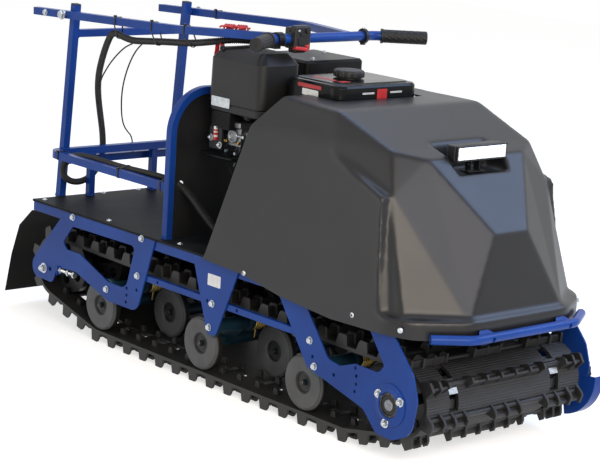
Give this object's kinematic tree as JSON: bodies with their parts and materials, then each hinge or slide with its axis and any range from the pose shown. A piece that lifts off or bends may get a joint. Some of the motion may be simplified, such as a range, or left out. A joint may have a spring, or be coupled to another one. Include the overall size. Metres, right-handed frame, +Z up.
{
  "type": "tracked snow tug",
  "caption": "Walk-behind tracked snow tug: one wide rubber track under a steel deck, open engine under a faceted hood, towing handle folded forward.",
  "frame": {"origin": "on the ground under the middle of the vehicle's bounding box", "axes": "+Z up, -Y forwards, +X to the vehicle's left"},
  "size_m": [0.6165, 1.731, 0.904],
  "materials": {
    "track_rubber": "matte moulded rubber",
    "blue_paint": "gloss powder coat",
    "roller_plastic": "moulded",
    "black_panel": "smooth sheet",
    "deck_black": "matte textured coat",
    "black_plastic": "moulded",
    "loom_sleeve": "corrugated tube",
    "grip_rubber": "matte",
    "zinc": "zinc plated",
    "hood_plastic": "moulded, satin",
    "steel_bar": "turned",
    "chain_steel": "oiled",
    "flap_rubber": "matte",
    "engine_aluminium": "cast",
    "tank_paint": "gloss",
    "heat_shield": "matte heat-proof",
    "lens": "clear"
  },
  "bodies": {
    "chassis": {"track": "track_rubber", "bogie_1": "blue_paint", "bogie_2": "blue_paint", "bogie_3": "blue_paint", "rollers_1": "roller_plastic", "rollers_2": "roller_plastic", "rollers_3": "roller_plastic", "rear_plates": "blue_paint", "middle_plates": "blue_paint", "front_plates": "blue_paint", "deck_frame": "blue_paint", "deck_panel": "deck_black", "rear_posts": "blue_paint", "rack_ring": "blue_paint", "hoop_frame": "blue_paint", "hoop_panel": "black_panel", "pivot_bolts": "zinc", "hood": "hood_plastic", "drive_axle": "steel_bar", "idler_axle": "roller_plastic", "axle_bearings": "zinc", "axle_sprocket": "steel_bar", "jackshaft": "steel_bar", "jack_stand": "blue_paint", "chain": "chain_steel", "chain_guard": "blue_paint", "slide_bars": "blue_paint", "bumper": "blue_paint", "rear_flap": "flap_rubber", "engine_block": "engine_aluminium", "recoil_cover": "black_plastic", "air_box": "black_plastic", "fuel_tank": "tank_paint", "fuel_cap": "black_plastic", "muffler_cover": "heat_shield", "carburettor": "engine_aluminium", "control_plate": "zinc", "lamp_body": "black_plastic", "lamp_lens": "lens", "loom": "loom_sleeve", "throttle_cable": "loom_sleeve", "rear_lead": "loom_sleeve", "junction_box": "black_plastic", "lead_plug": "black_plastic"},
    "handle": {"handle_frame": "blue_paint", "grips": "grip_rubber", "switch_box": "black_plastic", "bar_clamp": "black_plastic", "brake_lever": "black_plastic", "arm_loom": "loom_sleeve"}
  },
  "joints": [
    {"name": "handle_fold", "type": "hinge", "parent": "chassis", "child": "handle", "pos_m": [0, 0.6635, 0.839], "axis": [-1, 0, 0], "range_deg": [0, 165]}
  ]
}
